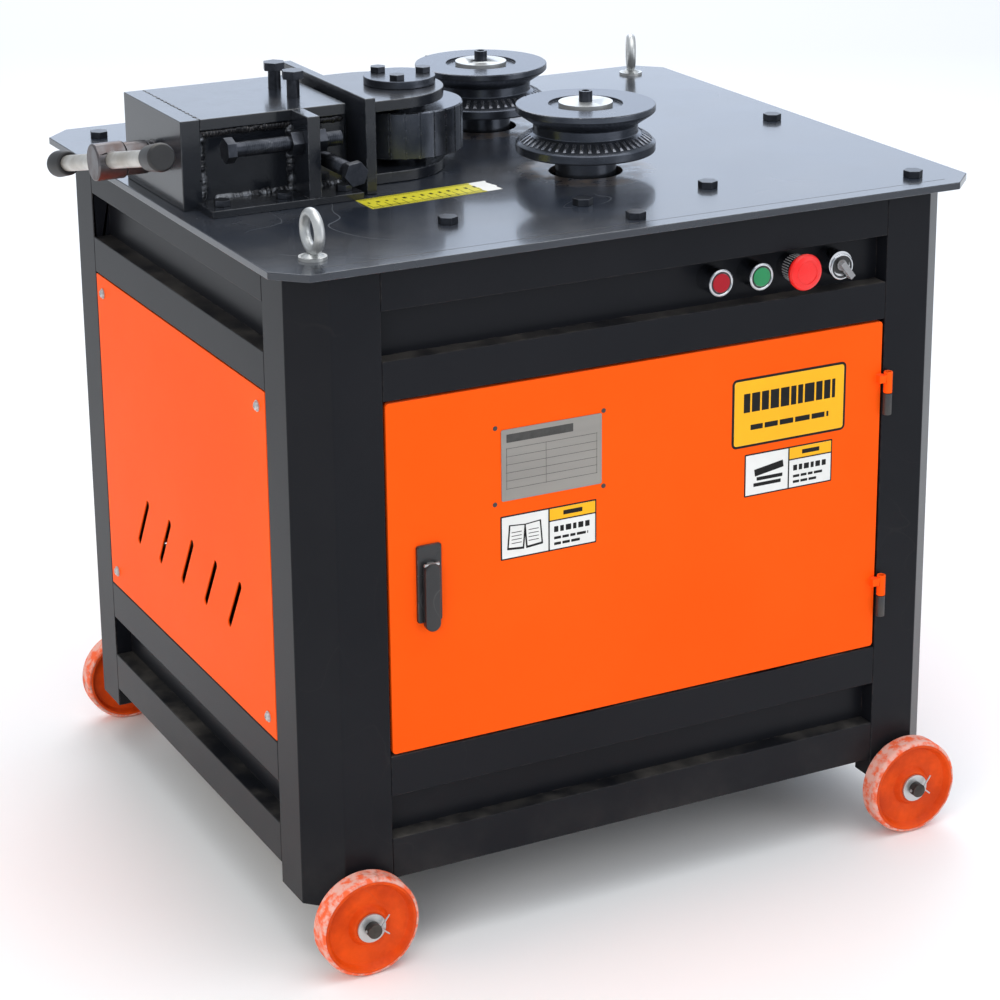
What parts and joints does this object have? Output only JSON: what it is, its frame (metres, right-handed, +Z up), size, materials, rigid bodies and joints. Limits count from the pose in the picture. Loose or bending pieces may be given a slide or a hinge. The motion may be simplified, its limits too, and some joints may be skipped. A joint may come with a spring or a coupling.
{
  "type": "rebar bender",
  "caption": "Wheeled sheet-steel bench that curves reinforcing bar between powered grooved rollers and a press roller advanced by a hand-turned screw.",
  "frame": {"origin": "on the floor under the middle of the table, between the wheels' contact lines", "axes": "+X to the right along the door side, +Y to the rear, +Z up; the press screw is at -X"},
  "size_m": [0.885, 0.774, 0.889],
  "materials": {
    "cabinet": "semi-gloss charcoal powder coat",
    "table": "glossy blue-black paint, finely scratched",
    "orange": "bright orange powder coat",
    "dark_steel": "blackened steel, lightly worn",
    "worn_steel": "worn bright steel",
    "zinc": "zinc plated",
    "cast_orange": "orange painted casting",
    "cast_grey": "grey painted casting",
    "rubber": "black moulded rubber",
    "plate": "satin sheet",
    "black_plastic": "moulded",
    "red_plastic": "moulded red",
    "green_plastic": "moulded green",
    "blue_paint": "gloss blue machine enamel"
  },
  "bodies": {
    "frame": {"table_plate": "table", "corner_posts": "cabinet", "cross_rails": "cabinet", "control_panel": "cabinet", "infill_panels": "cabinet", "service_panels": "orange", "panel_screws": "zinc", "floor_tray": "cabinet", "hinge_pins": "dark_steel", "axles": "worn_steel", "axle_brackets": "cabinet", "axle_washers": "zinc", "split_pins": "zinc", "eyebolts": "zinc", "table_bolts": "dark_steel", "housing_end_plate": "dark_steel", "housing_walls": "dark_steel", "housing_feet": "dark_steel", "foot_bolts": "dark_steel", "stop_bolt": "dark_steel", "gib_bolts": "dark_steel", "gear_case": "cast_grey", "shaft_bearings": "worn_steel", "reducer_case": "cast_grey", "motor_body": "blue_paint", "drive_belt": "rubber", "control_bodies": "black_plastic", "electrical_box": "cast_grey", "cable_glands": "black_plastic"},
    "press_slide": {"slide_block": "dark_steel", "yoke_end_plate": "dark_steel", "yoke_plates": "dark_steel", "roller_pin": "dark_steel", "cap_bolts": "dark_steel"},
    "idle_roller": {"press_roller": "dark_steel"},
    "press_screw": {"lead_screw": "worn_steel", "tommy_bar": "zinc", "bar_caps": "rubber"},
    "front_drive": {"front_roller": "dark_steel", "front_roller_drive": "worn_steel", "front_retainer": "zinc"},
    "rear_drive": {"rear_roller": "dark_steel", "rear_roller_drive": "worn_steel", "rear_retainer": "zinc"},
    "pinion": {"drive_pinion": "worn_steel"},
    "worm_pulley": {"reducer_pulley": "cast_grey"},
    "rotor": {"motor_rotor": "worn_steel"},
    "door_leaf": {"door": "orange", "nameplate": "plate", "handle_base": "black_plastic"},
    "lock_spindle": {"handle_spindle": "zinc"},
    "lock_lever": {"handle_lever": "black_plastic"},
    "stop_button": {"red_button": "red_plastic"},
    "start_button": {"green_button": "green_plastic"},
    "emergency_stop": {"estop_mushroom": "red_plastic"},
    "selector": {"selector_knob": "black_plastic"},
    "front_left_wheel": {"wheel_front_left": "cast_orange"},
    "front_right_wheel": {"wheel_front_right": "cast_orange"},
    "rear_left_wheel": {"wheel_rear_left": "cast_orange"},
    "rear_right_wheel": {"wheel_rear_right": "cast_orange"}
  },
  "joints": [
    {"name": "screw_turn", "type": "hinge", "parent": "frame", "child": "press_screw", "pos_m": [-0.453, 0.013, 0.807], "axis": [1, 0, 0], "range_deg": [-540, 4200]},
    {"name": "press_travel", "type": "slide", "parent": "frame", "child": "press_slide", "axis": [1, 0, 0], "range_m": [-0.009, 0.07]},
    {"name": "press_roller_spin", "type": "hinge", "parent": "press_slide", "child": "idle_roller", "pos_m": [-0.1105, 0.013, 0.81], "axis": [0, 0, 1], "continuous": true},
    {"name": "motor_spin", "type": "hinge", "parent": "frame", "child": "rotor", "pos_m": [-0.11, 0.013, 0.246], "axis": [1, 0, 0], "continuous": true},
    {"name": "worm_spin", "type": "hinge", "parent": "frame", "child": "worm_pulley", "pos_m": [-0.11, 0.013, 0.534], "axis": [1, 0, 0], "continuous": true},
    {"name": "pinion_spin", "type": "hinge", "parent": "frame", "child": "pinion", "pos_m": [0.055, 0.013, 0.7], "axis": [0, 0, 1], "continuous": true},
    {"name": "front_roller_spin", "type": "hinge", "parent": "frame", "child": "front_drive", "pos_m": [0.055, -0.115, 0.8], "axis": [0, 0, 1], "continuous": true},
    {"name": "rear_roller_spin", "type": "hinge", "parent": "frame", "child": "rear_drive", "pos_m": [0.055, 0.141, 0.8], "axis": [0, 0, 1], "continuous": true},
    {"name": "door_swing", "type": "hinge", "parent": "frame", "child": "door_leaf", "pos_m": [0.305, -0.3506, 0.42], "axis": [0, 0, 1], "range_deg": [0, 110]},
    {"name": "lock_turn", "type": "hinge", "parent": "door_leaf", "child": "lock_spindle", "pos_m": [-0.2555, -0.33, 0.4315], "axis": [0, 1, 0], "range_deg": [0, 90]},
    {"name": "lever_lift", "type": "hinge", "parent": "lock_spindle", "child": "lock_lever", "pos_m": [-0.2555, -0.3535, 0.4375], "axis": [-1, 0, 0], "range_deg": [0, 30]},
    {"name": "stop_push", "type": "slide", "parent": "frame", "child": "stop_button", "axis": [0, 1, 0], "range_m": [0, 0.003], "stiffness_N_per_m": 300},
    {"name": "start_push", "type": "slide", "parent": "frame", "child": "start_button", "axis": [0, 1, 0], "range_m": [0, 0.003], "stiffness_N_per_m": 300},
    {"name": "emergency_push", "type": "slide", "parent": "frame", "child": "emergency_stop", "axis": [0, 1, 0], "range_m": [0, 0.005]},
    {"name": "selector_turn", "type": "hinge", "parent": "frame", "child": "selector", "pos_m": [0.237, -0.33, 0.689], "axis": [0, 1, 0], "range_deg": [-90, 0]},
    {"name": "front_left_roll", "type": "hinge", "parent": "frame", "child": "front_left_wheel", "pos_m": [-0.343, -0.364, 0.056], "axis": [0, 1, 0], "continuous": true},
    {"name": "rear_left_roll", "type": "hinge", "parent": "frame", "child": "rear_left_wheel", "pos_m": [-0.343, 0.364, 0.056], "axis": [0, 1, 0], "continuous": true},
    {"name": "front_right_roll", "type": "hinge", "parent": "frame", "child": "front_right_wheel", "pos_m": [0.343, -0.364, 0.056], "axis": [0, 1, 0], "continuous": true},
    {"name": "rear_right_roll", "type": "hinge", "parent": "frame", "child": "rear_right_wheel", "pos_m": [0.343, 0.364, 0.056], "axis": [0, 1, 0], "continuous": true}
  ],
  "couplings": [
    {"joint": "press_travel", "follows": "screw_turn", "m_per_rad": 0.00095493},
    {"joint": "worm_spin", "follows": "motor_spin", "ratio": 0.37383},
    {"joint": "pinion_spin", "follows": "motor_spin", "ratio": 0.018692},
    {"joint": "front_roller_spin", "follows": "motor_spin", "ratio": -0.0062305},
    {"joint": "rear_roller_spin", "follows": "motor_spin", "ratio": -0.0062305}
  ]
}
